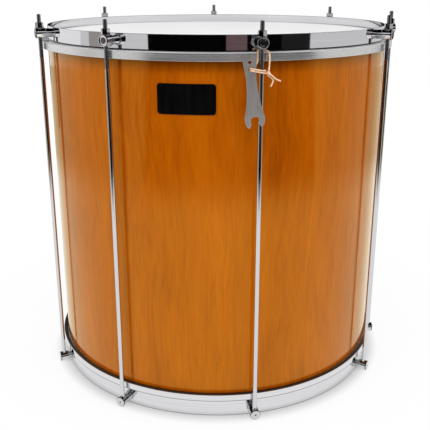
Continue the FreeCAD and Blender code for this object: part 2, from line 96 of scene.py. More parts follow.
NUT_HALF_FLATS = 5.0
ROD_RADIUS = 3.0
ROD_CLEARANCE = 0.2
THREAD_GAP = 0.05
ROD_BOTTOM = 4.0
ROD_TOP = 540.4
THREAD_START = 481.0
THREAD_PITCH = 1.0
THREAD_CORE = 2.62
THREAD_CREST = 2.99
ROD_BEARINGS = [-67.5, -30.5, 11.7, 61.0, 90.0, 131.4, 181.0, 227.7]
KEY_BEARING = 11.7
KEY_WIDTH = 25.0
KEY_LENGTH = 88.0
KEY_TOP = 17.5
KEY_THICKNESS = 2.0
KEY_HALF_JAW = 5.15
KEY_HOLE = 2.45
KEY_EYE = 2.3
KEY_EYE_DROP = 8.6
KEY_TILT = 6.4
KEY_PLACE = (3.4, -14.9, -30.3)
BADGE_WIDTH = 74.0
BADGE_HEIGHT = 37.9
BADGE_THICKNESS = 0.8
BADGE_CORNER = 4.0
BADGE_DROP = 58.0
BADGE_GAP = 0.3
BADGE_BEARING = -8.4

# Heights in metres at which a plating changes: top skirt, middle of the drum, rod's lower part with painted
# light, thread
SKIRT_FADE = (0.5046, 0.5038)
HALVES_FADE = (0.200, 0.202)
ROD_LIGHT_FADE = (0.27, 0.35)
THREAD_FADE = (0.4795, 0.4825)
# Painted highlight along the top hoop's ledge: lowest and highest height in millimetres, and soft edge
LEDGE_HIGHLIGHT = (503.2, 503.55, 0.1)

# Lines of painted shade and painted reflection round the hoops, lugs and shell: lowest and highest height,
# soft edge, and the part of the colour left
HOOP_PAINTED_SHADE = [(0.0, 0.9, 0.6, 0.40), (25.6, 26.8, 0.6, 0.45), (503.7, 505.2, 0.3, 0.05)]
LUG_PAINTED_REFLECTION = [(ROD_CIRCLE + 5.1, ROD_CIRCLE + 6.38, 0.1, 0.15)]
SHELL_PAINTED_SHADOW = [(28.0, 34.6, 1.6, 0.12), (491.0, 500.0, 14.0, 0.58)]

KEY_SIDE_SHARES = [
    (0.300, 0.000), (0.345, 0.022), (0.345, 0.052), (0.285, 0.200), (0.245, 0.350), (0.270, 0.500),
    (0.330, 0.640), (0.420, 0.760), (0.500, 0.850), (0.490, 0.920), (0.420, 0.975), (0.310, 1.000),
]

KEY_JAW_SHARES = [(1.0, 0.955), (1.0, 0.870), (0.45, 0.845)]

STRING_ROUTE = [
    (5.6, 4.8, -35.2), (6.9, -4.5, -33.6), (7.2, -14.9, -31.4), (1.2, -14.9, -31.4),
    (-0.4, -8.6, -31.6), (-4.4, -4.5, -31.9), (-4.5, 4.5, -32.3), (5.0, 4.6, -32.7),
    (6.9, -4.5, -31.2), (7.2, -14.9, -29.2), (1.2, -14.9, -29.2), (0.7, -8.0, -27.2),
    (-2.0, -4.0, -22.0), (-2.1, -4.0, -15.0), (-2.1, -4.3, -9.6), (-4.8, -3.6, -9.3),
    (-4.8, 3.6, -9.3), (-1.6, 8.6, -9.4), (0.6, 9.7, -14.6), (3.0, 9.1, -22.8), (5.4, 7.6, -32.2),
]
KNOT_PLACE = (5.7, 6.9, -34.5)
LONG_TAIL_ROUTE = [(6.3, 8.4, -35.6), (6.4, 12.4, -38.8), (6.0, 16.6, -42.6), (5.2, 22.6, -44.6)]
SHORT_TAIL_ROUTE = [(4.6, 6.6, -37.0), (4.2, 11.2, -41.0), (3.9, 14.7, -44.0), (3.6, 11.0, -51.2)]


# The studio that the polished surfaces mirror, in metres and degrees
BLACK = (0.001, 0.001, 0.001)
# name, azimuth, distance, left, right, low, high, shade
CARDS = [
    ("dark_card_front", 0.0, 1.75, -1.54, 2.99, 0.0, 1.1, BLACK),
    ("dim_card_front", 0.0, 1.73, 1.41, 2.93, 0.0, 1.1, (0.014, 0.014, 0.014)),
    ("brown_card_front", 0.0, 1.71, 0.17, 0.55, 0.0, 1.1, (0.14, 0.09, 0.095)),
    ("dark_card_back", 180.0, 3.0, -1.5, 1.5, 0.0, 2.4, (0.03, 0.03, 0.035)),
    ("grey_card_left", -80.4, 3.0, -0.32, 0.32, 0.24, 1.8, (0.36, 0.33, 0.32)),
    ("dark_strip_left", -131.0, 2.0, -0.05, 0.05, 0.0, 0.9, BLACK),
    ("dark_strip_right", 116.0, 2.0, -0.04, 0.04, 0.0, 0.9, BLACK),
]
# name, inner and outer radius, height, shade, fade, first and last azimuth
DISCS = [
    ("grey_floor", 1.15, 4.2, 0.003, (0.62, 0.58, 0.46), 0.35, 0.0, 360.0),
    ("far_floor", 4.2, 29.0, 0.002, (0.70, 0.70, 0.71), 0.2, -97.0, 180.0),
    ("dark_floor", 1.15, 4.2, 0.004, BLACK, 0.35, -45.0, 64.0),
    ("dark_ceiling", 0.001, 2.2, 1.9, BLACK, 0.001, 0.0, 360.0),
]
# name, place, target, size, power in watts
LAMPS = [
    ("key_lamp", (-1.9, -1.6, 1.9), (0, 0, 0.3), (1.6, 1.6), 32.0),
    ("fill_lamp", (2.1, -1.2, 1.5), (0, 0, 0.3), (1.4, 1.8), 24.0),
    ("top_lamp", (0.0, -1.35, 2.1), (0, 0, 0.35), (0.7, 0.7), 14.0),
]
SENSOR_MM = 36.0
PHOTO_WIDTH = 430
FOCAL_PIXELS = 705.55
CAMERA_PLACE = (0.0, -1.1115, 0.5867)
CAMERA_DOWN = 0.3232
CAMERA_ROLL = 0.0018
SOFT_LIGHT = 0.58
MIRRORED_LIGHT = 0.69


# -------- shader helpers

def add_node(tree, kind, **values):
    node = tree.nodes.new(kind)
    for name, value in values.items():
        setattr(node, name, value)
    return node


def set_inputs(node, values):
    for name, value in values.items():
        node.inputs[name].default_value = value


def join(tree, source, target):
    tree.links.new(source, target)


def ramp(tree, factor, stops):
    """Colour ramp with the given (place, colour) stops."""
    node = add_node(tree, "ShaderNodeValToRGB")
    elements = node.color_ramp.elements
    while len(elements) < len(stops):
        elements.new(0.5)
    for element, (place, colour) in zip(elements, stops):
        element.position = place
        element.color = (*colour, 1.0)
    join(tree, factor, node.inputs["Fac"])
    return node.outputs["Color"]


def spread(tree, value, low, high, new_low, new_high):
    """Map a value from one range to another and keep it inside."""
    node = add_node(tree, "ShaderNodeMapRange")
    set_inputs(node, {"From Min": low, "From Max": high, "To Min": new_low, "To Max": new_high})
    join(tree, value, node.inputs["Value"])
    return node.outputs["Result"]


def plain_noise(tree, vector, scale, detail):
    noise = add_node(tree, "ShaderNodeTexNoise")
    set_inputs(noise, {"Scale": scale, "Detail": detail})
    join(tree, vector, noise.inputs["Vector"])
    return noise


def stretched_noise(tree, vector, scale, detail):
    mapping = add_node(tree, "ShaderNodeMapping")
    set_inputs(mapping, {"Scale": scale})
    join(tree, vector, mapping.inputs["Vector"])
    noise = plain_noise(tree, mapping.outputs["Vector"], 1.0, detail)
    set_inputs(noise, {"Roughness": 0.55})
    return noise.outputs["Fac"]


def calculated(tree, operation, *values):
    node = add_node(tree, "ShaderNodeMath", operation=operation)
    for value, socket in zip(values, node.inputs):
        join(tree, value, socket)
    return node.outputs["Value"]


def blended(tree, factor, one, two):
    """Number between two others, by a factor."""
    node = add_node(tree, "ShaderNodeMix", data_type="FLOAT")
    join(tree, factor, node.inputs[0])
    join(tree, one, node.inputs[2])
    join(tree, two, node.inputs[3])
    return node.outputs[0]


def height_of(tree, place):
    axes = add_node(tree, "ShaderNodeSeparateXYZ")
    join(tree, place, axes.inputs["Vector"])
    return axes.outputs["Z"]


def vector_length(tree, vector):
    node = add_node(tree, "ShaderNodeVectorMath", operation="LENGTH")
    join(tree, vector, node.inputs[0])
    return node.outputs["Value"]


def from_axis(tree, place):
    """Distance from the drum's axis."""
    level = add_node(tree, "ShaderNodeVectorMath", operation="MULTIPLY")
    level.inputs[1].default_value = (1.0, 1.0, 0.0)
    join(tree, place, level.inputs[0])
    return vector_length(tree, level.outputs["Vector"])


def multiplied(tree, colour, factor):
    node = add_node(tree, "ShaderNodeMix", data_type="RGBA", blend_type="MULTIPLY")
    node.inputs[0].default_value = 1.0
    join(tree, colour, node.inputs[6])
    join(tree, factor, node.inputs[7])
    return node.outputs[2]


def band(tree, height, low, high, soft):
    """1 between two heights in millimetres, and 0 beyond its soft edges."""
    return calculated(tree, "MINIMUM", spread(tree, height, (low - soft) * MM, low * MM, 0.0, 1.0),
                      spread(tree, height, high * MM, (high + soft) * MM, 1.0, 0.0))


def with_painted_darkening(tree, colour, height, lines):
    """Colour with each painted dark line taken off it."""
    for low, high, soft, left in lines:
        factor = spread(tree, band(tree, height, low, high, soft), 0.0, 1.0, 1.0, left)
        colour = multiplied(tree, colour, factor)
    return colour


def new_group(name, inputs, outputs):
    """Empty node group with named sockets, and its input and output nodes."""
    group = bpy.data.node_groups.new(name, "ShaderNodeTree")
    for socket, kind, value in inputs:
        made = group.interface.new_socket(name=socket, in_out="INPUT", socket_type=kind)
        if value is not None:
            made.default_value = value
    for socket, kind in outputs:
        group.interface.new_socket(name=socket, in_out="OUTPUT", socket_type=kind)
    return group, add_node(group, "NodeGroupInput"), add_node(group, "NodeGroupOutput")


def make_handling_marks():
    """Faint smears and fine pits that every polished surface has."""
    group, source, result = new_group(
        "handling marks",
        [("Vector", "NodeSocketVector", None), ("Size", "NodeSocketFloat", 40.0),
         ("Least", "NodeSocketFloat", 0.03), ("Most", "NodeSocketFloat", 0.1)],
        [("Roughness", "NodeSocketFloat"), ("Pits", "NodeSocketFloat")])
    smear = add_node(group, "ShaderNodeTexNoise")
    set_inputs(smear, {"Detail": 5.0, "Roughness": 0.6, "Distortion": 0.4})
    join(group, source.outputs["Vector"], smear.inputs["Vector"])
    join(group, source.outputs["Size"], smear.inputs["Scale"])
    node = add_node(group, "ShaderNodeMapRange")
    set_inputs(node, {"From Min": 0.35, "From Max": 0.7})
    join(group, smear.outputs["Fac"], node.inputs["Value"])
    join(group, source.outputs["Least"], node.inputs["To Min"])
    join(group, source.outputs["Most"], node.inputs["To Max"])
    join(group, node.outputs["Result"], result.inputs["Roughness"])
    pits = add_node(group, "ShaderNodeTexNoise")
    set_inputs(pits, {"Scale": 900.0, "Detail": 2.0})
    join(group, source.outputs["Vector"], pits.inputs["Vector"])
    join(group, pits.outputs["Fac"], result.inputs["Pits"])
    return group


def make_streaks():
    """Long streaks along one direction, for grain and brushing."""
    group, source, result = new_group(
        "streaks",
        [("Vector", "NodeSocketVector", None), ("Across", "NodeSocketFloat", 100.0),
         ("Along", "NodeSocketFloat", 2.0), ("Turn", "NodeSocketFloat", 0.0)],
        [("Value", "NodeSocketFloat")])
    scale = add_node(group, "ShaderNodeCombineXYZ")
    join(group, source.outputs["Across"], scale.inputs["X"])
    join(group, source.outputs["Across"], scale.inputs["Y"])
    join(group, source.outputs["Along"], scale.inputs["Z"])
    product = add_node(group, "ShaderNodeVectorMath", operation="MULTIPLY")
    join(group, source.outputs["Vector"], product.inputs[0])
    join(group, scale.outputs["Vector"], product.inputs[1])
    noise = add_node(group, "ShaderNodeTexNoise")
    set_inputs(noise, {"Scale": 1.0, "Detail": 7.0, "Roughness": 0.62})
    join(group, product.outputs["Vector"], noise.inputs["Vector"])
    join(group, source.outputs["Turn"], noise.inputs["Distortion"])
    join(group, noise.outputs["Fac"], result.inputs["Value"])
    return group


HANDLING_MARKS = make_handling_marks()
STREAKS = make_streaks()


def new_material(name):
    material = bpy.data.materials.new(name)
    material.use_nodes = True
    tree = material.node_tree
    shader = tree.nodes["Principled BSDF"]
    place = add_node(tree, "ShaderNodeTexCoord").outputs["Object"]
    return material, tree, shader, place


def place_group(tree, group, vector, values):
    node = add_node(tree, "ShaderNodeGroup", node_tree=group)
    set_inputs(node, values)
    join(tree, vector, node.inputs["Vector"])
    return node


def bump(tree, shader, height, strength, distance):
    node = add_node(tree, "ShaderNodeBump")
    set_inputs(node, {"Strength": strength, "Distance": distance})
    join(tree, height, node.inputs["Height"])
    join(tree, node.outputs["Normal"], shader.inputs["Normal"])


def nut_chrome():
    """Plate of the nuts and washers, handled the most."""
    material, tree, shader, place = new_material("nut chrome")
    set_inputs(shader, {"Metallic": 1.0, "IOR": 2.2})
    marks = place_group(tree, HANDLING_MARKS, place, {"Size": 220.0, "Least": 0.08, "Most": 0.18})
    join(tree, marks.outputs["Roughness"], shader.inputs["Roughness"])
    tint = ramp(tree, marks.outputs["Pits"], [(0.3, (0.47, 0.47, 0.4794)), (0.7, (0.50, 0.50, 0.51))])
    join(tree, tint, shader.inputs["Base Color"])
    bump(tree, shader, marks.outputs["Pits"], 0.05, 0.0002)
    return material


def lug_chrome():
    """Bright plate, darker on the lower lugs, with a painted dark reflection in the chamfer round the lug's
    face.
    """
    material, tree, shader, place = new_material("lug chrome")
    set_inputs(shader, {"Metallic": 1.0, "IOR": 2.2})
    marks = place_group(tree, HANDLING_MARKS, place, {"Size": 180.0, "Least": 0.03, "Most": 0.09})
    join(tree, marks.outputs["Roughness"], shader.inputs["Roughness"])
    tint = ramp(tree, marks.outputs["Pits"], [(0.3, (0.84, 0.84, 0.85)), (0.7, (0.90, 0.90, 0.91))])
    # Darker towards the bottom.
    darker_below = multiplied(tree, tint, spread(tree, height_of(tree, place), 0.1, 0.4, 0.70, 1.0))
    # The dark ring in the chamfer round the lug's face is a painted reflection.
    join(tree, with_painted_darkening(tree, darker_below, from_axis(tree, place), LUG_PAINTED_REFLECTION), shader.inputs["Base Color"])
    bump(tree, shader, marks.outputs["Pits"], 0.03, 0.0002)
    return material


def hoop_chrome():
    """Chrome of the hoops: mirror-bright rims, and the top hoop's skirt dulled by drawn lines round the hoop.
    """
    material, tree, shader, place = new_material("hoop chrome")
    set_inputs(shader, {"IOR": 2.2})
    marks = place_group(tree, HANDLING_MARKS, place, {"Size": 26.0, "Least": 0.03, "Most": 0.06})
    height = height_of(tree, place)
    top_skirt = calculated(tree, "MULTIPLY", spread(tree, height, *SKIRT_FADE, 0.0, 1.0),
                           spread(tree, height, *HALVES_FADE, 0.0, 1.0))
    lines = stretched_noise(tree, place, (6.0, 6.0, 900.0), 4.0)
    dulled = spread(tree, lines, 0.3, 0.7, 0.16, 0.34)
    join(tree, blended(tree, top_skirt, marks.outputs["Roughness"], dulled), shader.inputs["Roughness"])
    # A pale, less metallic band on the top hoop's ledge is a painted highlight.
    ledge_highlight = band(tree, height, *LEDGE_HIGHLIGHT)
    metal = calculated(tree, "MINIMUM", spread(tree, top_skirt, 0.0, 1.0, 1.0, 0.82),
                       spread(tree, ledge_highlight, 0.0, 1.0, 1.0, 0.2))
    join(tree, metal, shader.inputs["Metallic"])
    tint = ramp(tree, lines, [(0.3, (0.67, 0.67, 0.69)), (0.7, (0.76, 0.76, 0.77))])
    paler = add_node(tree, "ShaderNodeMix", data_type="RGBA")
    paler.inputs[7].default_value = (0.96, 0.96, 0.97, 1.0)
    join(tree, ledge_highlight, paler.inputs[0])
    join(tree, tint, paler.inputs[6])
    # Dark lines in the hoops' creases and at the bottom hoop's foot are painted shade.
    join(tree, with_painted_darkening(tree, paler.outputs[2], height, HOOP_PAINTED_SHADE), shader.inputs["Base Color"])
    bump(tree, shader, marks.outputs["Pits"], 0.015, 0.0002)
    return material


def varnished_wood():
    """Veneer whose grain wanders a little, under a clear glossy varnish."""
    material, tree, shader, place = new_material("varnished wood")
    wander = plain_noise(tree, place, 4.5, 2.0)
    swerve = add_node(tree, "ShaderNodeVectorMath", operation="MULTIPLY_ADD")
    join(tree, wander.outputs["Color"], swerve.inputs[0])
    swerve.inputs[1].default_value = (0.036, 0.036, 0.0)
    join(tree, place, swerve.inputs[2])
    grain = swerve.outputs["Vector"]
    broad = place_group(tree, STREAKS, grain, {"Across": 15.0, "Along": 2.4, "Turn": 0.8})
    fine = place_group(tree, STREAKS, grain, {"Across": 115.0, "Along": 8.0, "Turn": 1.3})
    pores = place_group(tree, STREAKS, grain, {"Across": 460.0, "Along": 26.0, "Turn": 0.4})
    blend = add_node(tree, "ShaderNodeMix", data_type="FLOAT")
    blend.inputs[0].default_value = 0.45
    join(tree, broad.outputs["Value"], blend.inputs[2])
    join(tree, fine.outputs["Value"], blend.inputs[3])
    colour = ramp(tree, blend.outputs[0], [
        (0.36, (0.295, 0.054, 0.0004)), (0.46, (0.368, 0.076, 0.0006)),
        (0.54, (0.412, 0.090, 0.0008)), (0.64, (0.465, 0.110, 0.0012))])
    flecks = spread(tree, pores.outputs["Value"], 0.34, 0.46, 0.86, 1.0)
    flecked = multiplied(tree, colour, flecks)
    # The shell's colour is darkened in the gap above the bottom hoop and under the top skirt: painted shadow.
    join(tree, with_painted_darkening(tree, flecked, height_of(tree, place), SHELL_PAINTED_SHADOW), shader.inputs["Base Color"])
    marks = place_group(tree, HANDLING_MARKS, place, {"Size": 9.0, "Least": 0.12, "Most": 0.18})
    join(tree, marks.outputs["Roughness"], shader.inputs["Roughness"])
    set_inputs(shader, {"IOR": 1.6, "Specular IOR Level": 1.0, "Specular Tint": (1.0, 0.58, 0.08, 1.0),
                        "Coat Weight": 1.0, "Coat Roughness": 0.03, "Coat IOR": 1.12,
                        "Coat Tint": (1.0, 0.97, 0.72, 1.0)})
    bump(tree, shader, fine.outputs["Value"], 0.03, 0.0004)
    return material


def drum_film():
    """White polyester film with a faint dusty tooth."""
    material, tree, shader, place = new_material("drum film")
    tooth = plain_noise(tree, place, 1100.0, 3.0)
    cloud = plain_noise(tree, place, 7.0, 4.0)
    colour = ramp(tree, cloud.outputs["Fac"], [(0.3, (0.965, 0.965, 0.97)), (0.7, (0.985, 0.985, 0.985))])
    join(tree, colour, shader.inputs["Base Color"])
    join(tree, spread(tree, tooth.outputs["Fac"], 0.3, 0.7, 0.42, 0.56), shader.inputs["Roughness"])
    set_inputs(shader, {"Specular IOR Level": 0.45})
    bump(tree, shader, tooth.outputs["Fac"], 0.08, 0.0001)
    return material


def gap_shade_steel():
    """Dull metal of the flesh hoops, made near black as painted shade for the gap round the shell, with lines
    drawn round the ring.
    """
    material, tree, shader, place = new_material("gap shade steel")
    set_inputs(shader, {"Metallic": 0.6})
    lines = stretched_noise(tree, place, (8.0, 8.0, 1200.0), 3.0)
    join(tree, ramp(tree, lines, [(0.3, (0.035, 0.035, 0.036)), (0.7, (0.06, 0.06, 0.06))]),
         shader.inputs["Base Color"])
    join(tree, spread(tree, lines, 0.3, 0.7, 0.28, 0.42), shader.inputs["Roughness"])
    return material


def rod_chrome():
    """Rod plating: brighter on the lower part as painted light, duller and greyer on the thread at the upper
    end.
    """
    material, tree, shader, place = new_material("rod chrome")
    set_inputs(shader, {"Metallic": 1.0, "IOR": 2.2})
    marks = place_group(tree, HANDLING_MARKS, place, {"Size": 120.0, "Least": 0.05, "Most": 0.12})
    height = height_of(tree, place)
    thread = spread(tree, height, *THREAD_FADE, 0.0, 1.0)
    roughness = add_node(tree, "ShaderNodeMix", data_type="FLOAT")
    join(tree, thread, roughness.inputs[0])
    join(tree, marks.outputs["Roughness"], roughness.inputs[2])
    roughness.inputs[3].default_value = 0.26
    join(tree, roughness.outputs[0], shader.inputs["Roughness"])
    plating = ramp(tree, thread, [(0.0, (0.54, 0.54, 0.55)), (1.0, (0.34, 0.34, 0.35))])
    # The rods' lower part is made lighter: painted light.
    lower_painted_light = spread(tree, height, *ROD_LIGHT_FADE, 1.20, 1.0)
    join(tree, multiplied(tree, plating, lower_painted_light), shader.inputs["Base Color"])
    bump(tree, shader, marks.outputs["Pits"], 0.03, 0.0002)
    return material


def badge_black():
    """Bare gloss black plate with faint hairlines."""
    material, tree, shader, place = new_material("badge black")
    lines = stretched_noise(tree, place, (160.0, 160.0, 25.0), 4.0)
    join(tree, ramp(tree, lines, [(0.3, (0.0015, 0.0015, 0.0015)), (0.75, (0.004, 0.004, 0.0045))]),
         shader.inputs["Base Color"])
    marks = place_group(tree, HANDLING_MARKS, place, {"Size": 60.0, "Least": 0.05, "Most": 0.1})
    join(tree, marks.outputs["Roughness"], shader.inputs["Roughness"])
    set_inputs(shader, {"Specular IOR Level": 0.35})
    return material


def key_steel():
    """Satin zinc plate, faintly brushed down the key."""
    material, tree, shader, place = new_material("key steel")
    set_inputs(shader, {"Metallic": 0.85})
    brushing = place_group(tree, STREAKS, place, {"Across": 700.0, "Along": 40.0, "Turn": 0.0})
    marks = place_group(tree, HANDLING_MARKS, place, {"Size": 150.0, "Least": 0.34, "Most": 0.5})
    join(tree, marks.outputs["Roughness"], shader.inputs["Roughness"])
    shade = ramp(tree, brushing.outputs["Value"], [(0.3, (0.50, 0.48, 0.46)), (0.7, (0.63, 0.61, 0.59))])
    join(tree, shade, shader.inputs["Base Color"])
    bump(tree, shader, brushing.outputs["Value"], 0.06, 0.0002)
    return material


def string_cotton():
    """Beige cotton with loose fibres."""
    material, tree, shader, place = new_material("string cotton")
    fibre = plain_noise(tree, place, 2400.0, 4.0)
    cloud = plain_noise(tree, place, 260.0, 3.0)
    join(tree, ramp(tree, cloud.outputs["Fac"], [(0.3, (0.60, 0.36, 0.20)), (0.7, (0.84, 0.60, 0.40))]),
         shader.inputs["Base Color"])
    set_inputs(shader, {"Roughness": 0.85, "Sheen Weight": 0.3, "Sheen Roughness": 0.5,
                        "Specular IOR Level": 0.2})
    bump(tree, shader, fibre.outputs["Fac"], 0.5, 0.0002)
    return material


WOOD = varnished_wood()
FILM = drum_film()
FLESH_SHADE_METAL = gap_shade_steel()
HOOP_CHROME = hoop_chrome()
ROD_CHROME = rod_chrome()
NUT_CHROME = nut_chrome()
LUG_CHROME = lug_chrome()
BADGE_BLACK = badge_black()
KEY_STEEL = key_steel()
COTTON = string_cotton()


# -------- shape helpers

def bearing_frame(bearing, height):
    """Placement at the rod circle with X outwards and Y towards larger bearings, in metres."""
    angle = math.radians(bearing)
    turn = Matrix.Rotation(angle - math.pi / 2, 4, "Z")
    return Matrix.Translation(Vector((math.sin(angle), -math.cos(angle), 0)) * ROD_CIRCLE * MM
                              + Vector((0, 0, height * MM))) @ turn


def turned(points, rounds=(), steps=ROUND_STEPS, closed=True):
    """Spin an outline of (radius, height) points round Z.

    rounds holds (point index, size) pairs of edges to bevel.
    """
    bm = bmesh.new()
    verts = [bm.verts.new((radius * MM, 0, height * MM)) for radius, height in points]
    pairs = list(zip(verts, verts[1:]))
    if closed:
        pairs.append((verts[-1], verts[0]))
    edges = [bm.edges.new(pair) for pair in pairs]
    bmesh.ops.spin(bm, geom=verts + edges, cent=(0, 0, 0), axis=(0, 0, 1), dvec=(0, 0, 0),
                   angle=math.tau, steps=steps, use_merge=True)
    bmesh.ops.remove_doubles(bm, verts=bm.verts, dist=0.000002)
    bmesh.ops.recalc_face_normals(bm, faces=bm.faces)
    by_size = {}
    for index, size in rounds:
        by_size.setdefault(size, []).append(points[index])
    for size, corners in by_size.items():
        picked = []
        for edge in bm.edges:
            one, two = edge.verts
            if abs(one.co.z - two.co.z) > 1e-7:
                continue
            for radius, height in corners:
                on_height = abs(one.co.z - height * MM) < 1e-6
                if on_height and all(abs(v.co.xy.length - radius * MM) < 1e-6 for v in (one, two)):
                    picked.append(edge)
        bmesh.ops.bevel(bm, geom=picked, offset=size * MM, offset_type="OFFSET", segments=4, profile=0.5,
                        affect="EDGES", material=-1, clamp_overlap=True)
    return bm


def finish_piece(bm, name, material, body, nodes, sharp=35.0):
    """Turn the mesh into an object that rides on its body and stands for its nodes."""
    bmesh.ops.recalc_face_normals(bm, faces=bm.faces)
    mesh = bpy.data.meshes.new(name)
    bm.to_mesh(mesh)
    bm.free()
    mesh.shade_smooth()
    mesh.set_sharp_from_angle(angle=math.radians(sharp))
    mesh.materials.append(material)
    piece = bpy.data.objects.new(name, mesh)
    bpy.context.scene.collection.objects.link(piece)
    flatten = piece.modifiers.new("even shading", "WEIGHTED_NORMAL")
    flatten.weight = 100
    flatten.keep_sharp = True
    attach(piece, body)
    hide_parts(*nodes)
    return piece


def copy_into(target, source, matrix):
    """Add a placed copy of one mesh to another."""
    mesh = bpy.data.meshes.new("copy")
    source.to_mesh(mesh)
    mesh.transform(matrix)
    target.from_mesh(mesh)
    bpy.data.meshes.remove(mesh)


def placed_copy(source, matrix):
    bm = bmesh.new()
    copy_into(bm, source, matrix)
    return bm


def select_sharp(bm, degrees):
    limit = math.radians(degrees)
    return [edge for edge in bm.edges if len(edge.link_faces) == 2 and edge.calc_face_angle() > limit]


def bevel_sharp(bm, degrees, size, segments):
    bmesh.ops.bevel(bm, geom=select_sharp(bm, degrees), offset=size * MM, offset_type="OFFSET",
                    segments=segments, profile=0.5, affect="EDGES", material=-1, clamp_overlap=True)


def cut_off(bm, place, outwards, gap):
    """Cut away all that lies past a plane, and close the cut."""
    geom = list(bm.verts) + list(bm.edges) + list(bm.faces)
    cut = bmesh.ops.bisect_plane(bm, geom=geom, dist=gap, plane_co=place, plane_no=outwards, clear_outer=True)
    rim = [item for item in cut["geom_cut"] if isinstance(item, bmesh.types.BMEdge)]
    bmesh.ops.holes_fill(bm, edges=rim, sides=0)


def thickened(bm, shift):
    """Turn a flat outline into a plate. Returns the moved vertices of its front."""
    back = list(bm.faces)
    bmesh.ops.extrude_face_region(bm, geom=back, use_keep_orig=True)
    front = [face for face in bm.faces if face not in back]
    moved = {vert for face in front for vert in face.verts} - {vert for face in back for vert in face.verts}
    bmesh.ops.translate(bm, vec=shift, verts=list(moved))
    bmesh.ops.recalc_face_normals(bm, faces=bm.faces)
    return moved


# -------- shell and heads

def build_shell():
    """Bent wooden tube with a tapered bearing edge at each end."""
    peak = SHELL_RADIUS - TAPER_DEPTH
    points = [
        (SHELL_INNER, SHELL_BOTTOM + SHELL_BEVEL), (SHELL_INNER + SHELL_BEVEL, SHELL_BOTTOM),
        (peak - PEAK_DEPTH, SHELL_BOTTOM), (peak, SHELL_BOTTOM + PEAK_HEIGHT),
        (SHELL_RADIUS, SHELL_BOTTOM + TAPER_HEIGHT), (SHELL_RADIUS, SHELL_TOP - TAPER_HEIGHT),
        (peak, SHELL_TOP - PEAK_HEIGHT), (peak - PEAK_DEPTH, SHELL_TOP),
        (SHELL_INNER + SHELL_BEVEL, SHELL_TOP), (SHELL_INNER, SHELL_TOP - SHELL_BEVEL),
    ]
    bm = turned(points, [(4, 1.2), (5, 1.2)])
    finish_piece(bm, "wooden_shell", WOOD, "drum", ["shell"], 20.0)


def build_head(name, node, level, inward):
    """Film over the shell's edge, with a soft bend where it turns down.

    level is the height of the shell's edge, and inward is 1 or -1 towards the middle of the drum.
    """
    slope = TAPER_DEPTH / (TAPER_HEIGHT - PEAK_HEIGHT)
    slant = FILM_THICKNESS * math.sqrt(1 + slope ** 2)
    knee = SHELL_RADIUS - TAPER_DEPTH + HEAD_GAP - slope * PEAK_HEIGHT
    under = LIP_DROP + FILM_THICKNESS
    lip = FLESH_INNER + LIP_WIDTH
    points = [
        (0, level), (knee, level), (knee + slope * under, level + inward * under),
        (lip, level + inward * under), (lip, level + inward * LIP_DROP),
        (knee + slope * LIP_DROP + slant, level + inward * LIP_DROP),
        (knee + slant - slope * FILM_THICKNESS, level - inward * FILM_THICKNESS),
        (0, level - inward * FILM_THICKNESS),
    ]
    bm = turned(points, [(1, 0.8), (6, 1.2)], closed=False)
    finish_piece(bm, name, FILM, "drum", [node], 20.0)


def build_flesh_hoop(name, node, level, inward, outer):
    """Ring round the shell that grips the film's lip in its slot."""
    near = level + inward * HEAD_RISE
    far = near + inward * FLESH_HEIGHT
    slot_near = level + inward * LIP_DROP
    slot_far = slot_near + inward * FILM_THICKNESS
    slot_end = FLESH_INNER + SLOT_WIDTH
    points = [
        (FLESH_INNER, near), (outer, near), (outer, far), (FLESH_INNER, far),
        (FLESH_INNER, slot_far), (slot_end, slot_far), (slot_end, slot_near), (FLESH_INNER, slot_near),
    ]
    bm = turned(points, [(1, 1.0), (2, 1.0)])
    finish_piece(bm, name, FLESH_SHADE_METAL, "drum", [node], 25.0)


# -------- hoops

def build_hoop(name, node, body, edge, inward, ledge, hem, rim, skirt):
    """Pressed ring. rim and skirt are pairs of inner and outer radius."""
    under = ledge + inward * SHEET
    points = [
        (rim[0], under), (skirt[0], under), (skirt[0], hem), (skirt[1], hem),
        (skirt[1], ledge), (rim[1], ledge), (rim[1], edge), (rim[0], edge),
    ]
    bm = turned(points, [(2, 0.4), (3, 0.4), (4, 0.9), (5, 0.5), (6, 0.5), (7, 0.5)])
    finish_piece(bm, name, HOOP_CHROME, body, [node], 30.0)


# -------- lugs, rods, nuts and washers

def lug_barrel(rim, front_points):
    """Turned barrel lying along X, outwards, with its neck welded to the rim of this outer radius."""
    back = rim + WELD_GAP - ROD_CIRCLE
    edge = LUG_RADIUS - LUG_BEVEL
    points = [
        (0, back), (LUG_NECK, back), (LUG_NECK, -LUG_BEHIND), (edge, -LUG_BEHIND),
        (LUG_RADIUS, LUG_BEVEL - LUG_BEHIND), (LUG_RADIUS, LUG_FRONT - LUG_BEVEL), (edge, LUG_FRONT),
    ] + front_points
    bm = turned(points, steps=SMALL_STEPS, closed=False)
    bmesh.ops.transform(bm, matrix=Matrix.Rotation(math.pi / 2, 4, "Y"), verts=bm.verts)
    return bm


